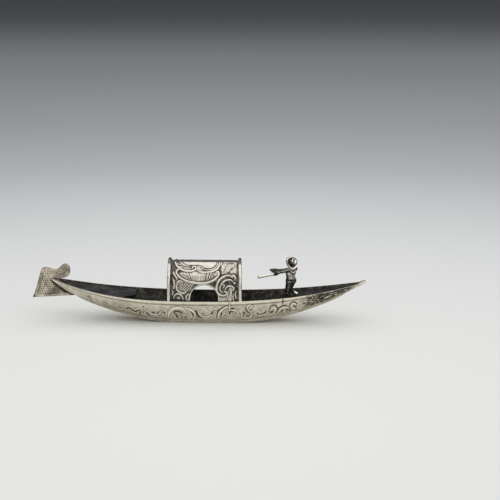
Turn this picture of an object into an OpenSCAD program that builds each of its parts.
// Miniature silver gondola: chased sheet hull, barrel-vaulted cabin (felze), bow ferro,
// two decks, and a cast gondolier holding the stub of an oar.
// X runs from the bow (-X) to the stern (+X), Y from port (-Y) to starboard (+Y), Z up.
// The origin is under the middle of the whole length, on the surface the hull stands on.

/* [Hull] */
// Widest beam over the gunwales
beam = 21.2; // [20.8:0.1:22]
// Height of the gunwale amidships
side_height = 10.2; // [9.8:0.1:10.8]
// How far the gunwale rises at the bow
bow_sheer_rise = 7.2; // [6.6:0.1:7.6]
// How far the gunwale rises at the stern
stern_sheer_rise = 6.8; // [6.2:0.1:7.2]
// Thickness of the silver sheet
sheet = 0.5; // [0.4:0.05:0.6]
// Half length of the flat on which the hull stands
flat_half = 10; // [8:0.5:12]

/* [Decks] */
// Depth of the bow deck below the gunwale
bow_deck_drop = 0.4; // [0.3:0.05:0.8]
// Depth of the stern deck below the gunwale
stern_deck_drop = 0.9; // [0.6:0.05:1]
// Thickness of the deck sheet
deck_sheet = 0.4; // [0.3:0.05:0.5]
// Forward end of the stern deck
stern_deck_x = 35.4; // [34:0.2:36]

/* [Cabin] */
// Length of the cabin over its two hoops, at the gunwale
cabin_length = 31; // [28:0.1:32]
// Middle of the cabin
cabin_x = 3.4; // [3:0.05:4.5]
// How far the cabin's bow end leans towards the stern, in degrees
bow_lean = 1.2; // [0:0.2:2]
// How far the cabin's stern end leans towards the bow, in degrees
stern_lean = 0.6; // [0:0.2:2]
// How far the cabin's ends are skewed, with the starboard side nearer the bow, in degrees
end_skew = 2.8; // [0:0.1:3.2]
// Outer half width of the cabin sheet
cabin_half = 9.25; // [8.8:0.05:9.25]
// Height of the cabin's crown
cabin_top = 25.4; // [23:0.1:26]
// Width of the hoops along the boat
hoop_width = 1.35; // [1.2:0.05:1.6]
// How far the hoops stand proud of the cabin's side
hoop_proud = 1.05; // [0.9:0.05:1.3]
// How far the hoops stand proud of the cabin's crown
hoop_crown = 0.9; // [0.7:0.05:1.2]
// Radius of the arched doorways
door_r = 5.75; // [5:0.05:6]
// Height of the doorways' arch centre
door_z = 11.2; // [11:0.05:12.2]

/* [Ferro] */
// Thickness of the ferro plate
ferro_t = 0.9; // [0.7:0.05:1]

/* [Gondolier and oar] */
// Radius of the oar stub
oar_r = 0.62; // [0.5:0.02:0.7]
// Length of the oar stub
oar_length = 8.6; // [8:0.1:9]
// Radius of the gondolier's head
head_r = 1.4; // [1.3:0.05:1.5]

/* [Hidden] */

bow_x = -61.6;            // bow tip of the hull sheets
stern_x = 66.9;           // stern end of the hull sheets, where the cap starts
tip_x = 69.9;             // aftermost point of the stern cap
wide_x = -16;             // station of the widest beam
flat_x = 3;               // middle of the flat bottom
plate_bow_x = -52;        // forward point of the bottom plate
plate_stern_x = 62;       // after point of the bottom plate
bow_keel_rise = 14;       // rise of the keel at the bow, without the stem
stern_keel_rise = 14.5;   // rise of the keel at the stern
stem_x = -54;             // where the stem starts to turn up
bow_half = ferro_t / 2 + sheet + 0.05;  // half width over the sheets at the bow tip
stern_half = sheet + 0.15;              // half width over the sheets at the stern tip
half_beam = beam / 2;
bilge_out = 0.78;         // how far out the side's bending point lies
bilge_up = 0.30;          // how far up the side's bending point lies
wall_steps = 7;           // facets up each side
station_step = 2;         // spacing of the hull's stations
gap = 0.03;               // solder gap round a piece that is let in

silver = [0.80, 0.78, 0.74];
dull_silver = [0.66, 0.62, 0.58];
dark_silver = [0.22, 0.22, 0.23];
solder_grey = [0.60, 0.61, 0.56];

// ---------- hull lines ----------

// Outer half beam at the gunwale
function plan(x) =
    let (fore = x < wide_x,
         t = fore ? (wide_x - x) / (wide_x - bow_x) : (x - wide_x) / (stern_x + 2.7 - wide_x),
         tip = fore ? bow_half : stern_half)
    tip + (half_beam - tip) * pow(max(0, 1 - pow(t, fore ? 2.1 : 3)), 0.9);

// Height of the gunwale
function sheer(x) =
    side_height + (x < 0 ? bow_sheer_rise * pow(x / bow_x, 2.6)
                         : stern_sheer_rise * pow(x / 69.5, 2.5));

// Height of the underside
function keel(x) =
    let (d = max(0, abs(x - flat_x) - flat_half),
         stem = max(0, stem_x - x))
    x < flat_x ? bow_keel_rise * pow(d / 53.3, 1.9) + 1.9 * pow(stem / 7.6, 1.3)
               : stern_keel_rise * pow(d / 53.9, 1.95);

// Half width between the inner lower edges of the two sides
function floor_half(x) =
    let (a = ferro_t / 2, f = (x - plate_bow_x) / (plate_stern_x - plate_bow_x))
    f <= 0 ? a : f >= 1 ? 0 : a * (1 - f) + 0.44 * half_beam * pow(sin(180 * f), 0.75);

function side_rise(x) = sheer(x) - keel(x) - sheet;

// Width of the side's foot, where it is cut level on the bottom plate
function foot(x) =
    let (run = bilge_out * (plan(x) - floor_half(x) - sheet),
         angle = atan2(bilge_up * side_rise(x), max(0.001, run)))
    min(sheet / sin(angle), 2 * sheet);

function chine(x) = floor_half(x) + foot(x);

// Outer face of the side at a share s of the way up: [half width, height]
function side_out(x, s) =
    let (w = plan(x) - chine(x), h = side_rise(x))
    [chine(x) + w * (2 * bilge_out * s * (1 - s) + s * s),
     keel(x) + sheet + h * (2 * bilge_up * s * (1 - s) + s * s)];

// Inner face of the side: the outer face moved in by the sheet's thickness
function side_in(x, s) =
    let (w = plan(x) - chine(x), h = side_rise(x),
         ty = w * (2 * bilge_out * (1 - 2 * s) + 2 * s),
         tz = h * (2 * bilge_up * (1 - 2 * s) + 2 * s),
         n = norm([ty, tz]),
         p = side_out(x, s))
    s == 0 ? [floor_half(x), keel(x) + sheet]
           : [p[0] - sheet * tz / n, min(p[1] + sheet * ty / n, sheer(x))];

// Inner half width of the hull at height z
function inside_half(x, z) =
    let (h = side_rise(x), u = (z - keel(x) - sheet) / h, k = 1 - 2 * bilge_up,
         s = (sqrt(bilge_up * bilge_up + k * u) - bilge_up) / k,
         p = side_out(x, s), q = side_out(x, s + 0.01),
         slope = (q[0] - p[0]) / (q[1] - p[1]))
    p[0] - sheet * sqrt(1 + slope * slope);

function stations(a, b) =
    let (n = ceil((b - a) / station_step)) [for (i = [0 : n]) a + (b - a) * i / n];

// Solid through a list of closed rings that all have the same number of points
module skin(rings) {
    m = len(rings[0]);
    n = len(rings);
    polyhedron(
        points = [for (r = rings) each r],
        faces = concat(
            [[for (j = [0 : m - 1]) j]],
            [for (i = [0 : n - 2], j = [0 : m - 1])
                each let (k = (j + 1) % m, a = i * m, b = (i + 1) * m)
                    [[a + j, b + j, a + k], [a + k, b + j, b + k]]],
            [[for (j = [m - 1 : -1 : 0]) (n - 1) * m + j]]));
}

// One side of the hull; hand is -1 for port and 1 for starboard
module hull_side(hand) {
    rings = [for (x = stations(bow_x, stern_x))
        let (up = [for (i = [0 : wall_steps]) side_out(x, i / wall_steps)],
             down = [for (i = [wall_steps : -1 : 0]) side_in(x, i / wall_steps)])
        [for (p = concat(up, down)) [x, p[0], p[1]]]];
    color(silver)
        mirror([0, hand < 0 ? 1 : 0, 0]) skin(rings);
}

module hull_bottom() {
    rings = [for (x = stations(plate_bow_x, plate_stern_x))
        [[x, -chine(x), keel(x)], [x, chine(x), keel(x)],
         [x, chine(x), keel(x) + sheet], [x, -chine(x), keel(x) + sheet]]];
    color(silver) skin(rings);
}

// Solid nub that closes the stern, tapering up from the sheets' ends to a round tip
module stern_cap() {
    nub_r = 0.8;
    root_z = keel(stern_x) + sheet;
    root_h = sheer(stern_x) - root_z;
    color(silver)
        hull() {
            translate([stern_x, -plan(stern_x), root_z])
                cube([0.1, 2 * plan(stern_x), root_h]);
            translate([tip_x - nub_r, 0, sheer(tip_x) - 0.2]) sphere(nub_r, $fn = 32);
        }
}

// ---------- bow ferro ----------

function bezier(p, n) =
    [for (i = [0 : n - 1]) let (t = i / n, u = 1 - t)
        u * u * u * p[0] + 3 * u * u * t * p[1] + 3 * u * t * t * p[2] + t * t * t * p[3]];

module ferro_outline() {
    heel = [-69.9, 8.8];
    brow = [-66.1, 20.0];
    crown = [-63.9, 21.8];
    dip = [-59.6, 20.95];
    curl_top = [-55.6, 23.4];
    curl_end = [-53.6, 20.6];
    throat = [-57.7, 17.3];
    toe = [-51.5, 10.4];
    polygon(concat(
        bezier([heel, [-68.2, 12.4], [-67.2, 16.4], brow], 10),
        bezier([brow, [-65.8, 21.1], [-65.2, 21.8], crown], 6),
        bezier([crown, [-62.4, 21.75], [-61.2, 20.9], dip], 8),
        bezier([dip, [-57.9, 21.1], [-57.2, 23.4], curl_top], 8),
        bezier([curl_top, [-54.4, 23.4], [-53.6, 22.0], curl_end], 8),
        bezier([curl_end, [-53.6, 18.4], [-55.2, 17.3], throat], 10),
        [throat, [-58.6, 16.4], toe, [-52.4, 9.85]]));
}

module bow_ferro() {
    color(dull_silver)
        rotate([90, 0, 0])
            linear_extrude(ferro_t, center = true) ferro_outline();
}

// ---------- decks ----------

function deck_z(x) = sheer(x) - (x < 0 ? bow_deck_drop : stern_deck_drop);
function deck_half(x) = inside_half(x, deck_z(x) - deck_sheet) - gap;

module deck(a, b) {
    skin([for (x = stations(a, b))
        [[x, -deck_half(x), deck_z(x) - deck_sheet], [x, deck_half(x), deck_z(x) - deck_sheet],
         [x, deck_half(x), deck_z(x)], [x, -deck_half(x), deck_z(x)]]]);
}

// The after edge of the bow deck is cut askew, with a notch towards port
module bow_deck() {
    color(dark_silver)
        difference() {
            deck(-55, -25);
            translate([0, 0, 5]) linear_extrude(10)
                polygon([[-31.5, -12], [-30.2, -5.5], [-27, -2.2], [-26.2, 1], [-27, 3.5],
                         [-25.4, 12], [-20, 12], [-20, -12]]);
        }
}

module stern_deck() {
    color(dark_silver)
        difference() {
            deck(stern_deck_x, 65);
            peg_hole();
        }
}

module stern_bulkhead() {
    thick = deck_sheet;
    x = stern_deck_x + thick;
    top = deck_z(stern_deck_x) - deck_sheet;
    foot_z = keel(x) + sheet + gap;
    steps = 8;
    edge = [for (i = [0 : steps])
        let (z = foot_z + (top - foot_z) * i / steps) [inside_half(x, max(z, foot_z + 0.4)) - gap, z]];
    color(dark_silver)
        translate([stern_deck_x, 0, 0]) rotate([90, 0, 90])
            linear_extrude(thick)
                polygon(concat(edge, [for (i = [steps : -1 : 0]) [-edge[i][0], edge[i][1]]]));
}

// ---------- cabin ----------

cabin_bow_x = cabin_x - cabin_length / 2;
cabin_stern_x = cabin_x + cabin_length / 2;
cabin_foot = 9.4;         // the sheet reaches this far down inside the gunwales

// Round-topped outline, r wide each side, from height foot_z up to height top
module arch(r, foot_z, top) {
    lap = 1;
    intersection() {
        translate([0, top - r]) circle(r, $fn = 96);
        translate([-r, top - r - lap]) square([2 * r, r + lap]);
    }
    translate([-r, foot_z]) square([2 * r, top - r - foot_z]);
}

// Extrudes a cross-section along X from x0
module along(x0, length) {
    translate([x0, 0, 0]) rotate([90, 0, 90]) linear_extrude(length) children();
}

hoop_half = cabin_half + hoop_proud;

// The waste before (side -1) or beyond (side 1) a skewed plane that meets the port hoop at x0
module beyond(x0, side, lean) {
    far = 12;
    translate([x0, -hoop_half, side_height]) rotate([0, -lean, end_skew])
        translate([side < 0 ? -far : 0, -3, -far]) cube([far, 2 * hoop_half + 6, 2 * far + 10]);
}

module cabin_shell() {
    door_x = cabin_x - 0.1;
    over = 1;
    skewed = 2;
    color(silver)
        difference() {
            along(cabin_bow_x - skewed, cabin_length + skewed) arch(cabin_half, cabin_foot, cabin_top);
            along(cabin_bow_x - skewed - over, cabin_length + skewed + 2 * over)
                arch(cabin_half - sheet, cabin_foot - over, cabin_top - sheet);
            beyond(cabin_bow_x, -1, -bow_lean);
            beyond(cabin_stern_x, 1, stern_lean);
            translate([door_x, 0, door_z]) rotate([90, 0, 0])
                cylinder(h = 3 * half_beam, r = door_r, center = true, $fn = 96);
            translate([door_x - door_r, -2 * half_beam, cabin_foot - over])
                cube([2 * door_r, 4 * half_beam, door_z - cabin_foot + over]);
        }
}

// Half-round hoop soldered round one end of the cabin, standing on the gunwales
module cabin_hoop(x0, lean) {
    skewed = 2 * hoop_half * tan(end_skew);
    foot_z = max(sheer(x0 - skewed), sheer(x0 + hoop_width));
    fore = x0 - skewed - 1;
    length = hoop_width + skewed + 2;
    color(silver)
        difference() {
            along(fore, length) arch(hoop_half, foot_z, cabin_top + hoop_crown);
            along(fore - 1, length + 2) arch(cabin_half, foot_z - 1, cabin_top);
            beyond(x0, -1, lean);
            beyond(x0 + hoop_width, 1, lean);
        }
}

// Solder run between the foot of the cabin and the inside of the hull, broken at the doorway
module cabin_solder(hand) {
    low = cabin_foot;
    high = 9.75;
    module run(a, b)
        skin([for (x = stations(a, b))
            [[x, cabin_half, low], [x, inside_half(x, low) - gap / 3, low],
             [x, inside_half(x, low) - gap / 3, low + 0.15], [x, cabin_half, high]]]);
    color(solder_grey)
        mirror([0, hand < 0 ? 1 : 0, 0]) {
            run(cabin_bow_x + 1.5, cabin_bow_x + 8.5);
            run(cabin_x + 6.5, cabin_x + 12.5);
        }
}

// ---------- gondolier ----------

hip_left = [38.1, -0.4, 16.5];
hip_right = [39.5, 0.6, 16.5];
waist = [38.6, 0, 18.5];
chest_left = [38.1, -0.3, 20.4];
chest_right = [39.3, 0.5, 20.4];
shoulder_left = [37.9, -1.2, 22];
shoulder_right = [40.6, 1.3, 21.95];
neck = [38.8, 0.2, 23];
head = [38.7, 0.3, 24.55];
hat_tilt = [63, 0, 42];              // worn on the back of the head, crown towards port and aft
knee_front = [37.6, -0.8, 13.4];
ankle_front = [37.5, -1, 11.7];
toe_front = [36, -1.2, 11.2];
knee_back = [38.5, 0.7, 13.6];
ankle_back = [40.2, 0.4, 12.2];
toe_back = [41.3, -0.3, 11.6];
elbow_left = [35.2, -1.6, 21.4];
hand_left = [32.4, -1.15, 20.5];
elbow_right = [35.6, 1.4, 21.7];
hand_right = [31.3, -0.6, 21.5];
fingertip = [30.3, -0.8, 21.8];
oar_grip = [31.8, -1.3, 20.1];
oar_end = [25.3, -3.6, 19.25];
peg_at = [37.5, -1];
peg_r = 0.45;

module limb(a, ra, b, rb) {
    hull() {
        translate(a) sphere(ra, $fn = 20);
        translate(b) sphere(rb, $fn = 20);
    }
}

module torso() {
    hull() {
        translate(waist) sphere(1.75, $fn = 24);
        translate(hip_left) sphere(1.6, $fn = 24);
        translate(hip_right) sphere(1.7, $fn = 24);
    }
    hull() {
        translate(waist) sphere(1.75, $fn = 24);
        translate(chest_left) sphere(1.45, $fn = 24);
        translate(chest_right) sphere(1.45, $fn = 24);
        translate(shoulder_left) sphere(0.75, $fn = 20);
        translate(shoulder_right) sphere(0.75, $fn = 20);
    }
}

// Everything below the top of the stern deck, near the gondolier's feet
module below_deck() {
    a = 36;
    b = 42;
    slope = atan((deck_z(b) - deck_z(a)) / (b - a));
    translate([a, 0, deck_z(a) + gap]) rotate([0, -slope, 0])
        translate([-5, -10, -5]) cube([20, 20, 5]);
}

module gondolier_body() {
    color(dull_silver)
        difference() {
            union() {
                torso();
                limb(neck, 0.85, head, 0.85);
                translate(head) sphere(head_r, $fn = 32);
                limb(hip_left, 1.3, knee_front, 1.2);
                limb(knee_front, 1.2, ankle_front, 0.95);
                limb(hip_right, 1.25, knee_back, 0.95);
                limb(knee_back, 0.95, ankle_back, 0.7);
                limb(ankle_front, 0.8, toe_front, 0.6);
                limb(ankle_back, 0.8, toe_back, 0.7);
            }
            below_deck();
            both_arms();
        }
}

module both_arms() {
    limb(shoulder_left, 1.05, elbow_left, 0.75);
    limb(elbow_left, 0.75, hand_left, 0.8);
    limb(shoulder_right, 1.05, elbow_right, 0.75);
    limb(elbow_right, 0.75, hand_right, 0.75);
    hull() {
        translate(hand_left) sphere(1, $fn = 20);
        translate(hand_right) sphere(0.8, $fn = 20);
        translate(fingertip) sphere(0.45, $fn = 20);
    }
}

// The arms lie in pockets of the body, and the joined hands are pierced for the oar
module gondolier_arms() {
    color(dull_silver)
        difference() {
            both_arms();
            oar_bore();
        }
}

// Round hat with the head in its hollow
module gondolier_hat() {
    color(dull_silver)
        translate(head) rotate(hat_tilt)
            difference() {
                rotate_extrude($fn = 64)
                    polygon([[0, 2.75], [0.9, 2.7], [1.5, 2.5], [1.85, 2.1], [2, 1.5], [2.03, 0.7],
                             [2.6, 0.55], [3, 0.62], [3, 0.4], [2.4, 0.25], [0, 0.25]]);
                sphere(head_r + gap, $fn = 48);
                translate([0, 0, -1]) cylinder(h = 1.25, r = head_r, $fn = 48);
            }
}

// Peg cast under the front foot and riveted through the stern deck
module gondolier_peg() {
    head_h = 0.35;
    top = deck_z(peg_at[0]) - 0.05;
    under = deck_z(peg_at[0]) - deck_sheet - 0.1;
    color(dull_silver)
        translate([peg_at[0], peg_at[1], 0]) {
            translate([0, 0, under - head_h]) cylinder(h = top - under + head_h, r = peg_r, $fn = 32);
            translate([0, 0, under - head_h]) cylinder(h = head_h, r = 1.8 * peg_r, $fn = 32);
        }
}

module peg_hole() {
    translate([peg_at[0], peg_at[1], 5]) cylinder(h = 10, r = peg_r + gap, $fn = 32);
}

// ---------- oar ----------

// Places children at the oar's outboard end, with +Z along the oar towards the hands
module along_oar() {
    d = oar_grip - oar_end;
    translate(oar_end) rotate([0, acos(d[2] / norm(d)), atan2(d[1], d[0])]) children();
}

module oar_bore() {
    along_oar() translate([0, 0, 2]) cylinder(h = oar_length - 2 + gap, r = oar_r + gap / 3, $fn = 48);
}

module oar() {
    hollow_r = 0.35;
    hollow_h = 1.2;
    color(silver)
        along_oar()
            difference() {
                cylinder(h = oar_length, r = oar_r, $fn = 48);
                translate([0, 0, -1]) cylinder(h = hollow_h + 1, r = hollow_r, $fn = 32);
            }
}

hull_side(-1);  // hull_side_port
hull_side(1);  // hull_side_starboard
hull_bottom();
stern_cap();
bow_ferro();
bow_deck();
stern_deck();
stern_bulkhead();
cabin_shell();
cabin_hoop(cabin_bow_x, -bow_lean);  // cabin_hoop_bow
cabin_hoop(cabin_stern_x - hoop_width, stern_lean);  // cabin_hoop_stern
cabin_solder(-1);  // cabin_solder_port
cabin_solder(1);  // cabin_solder_starboard
gondolier_body();
gondolier_arms();
gondolier_hat();
gondolier_peg();
oar();
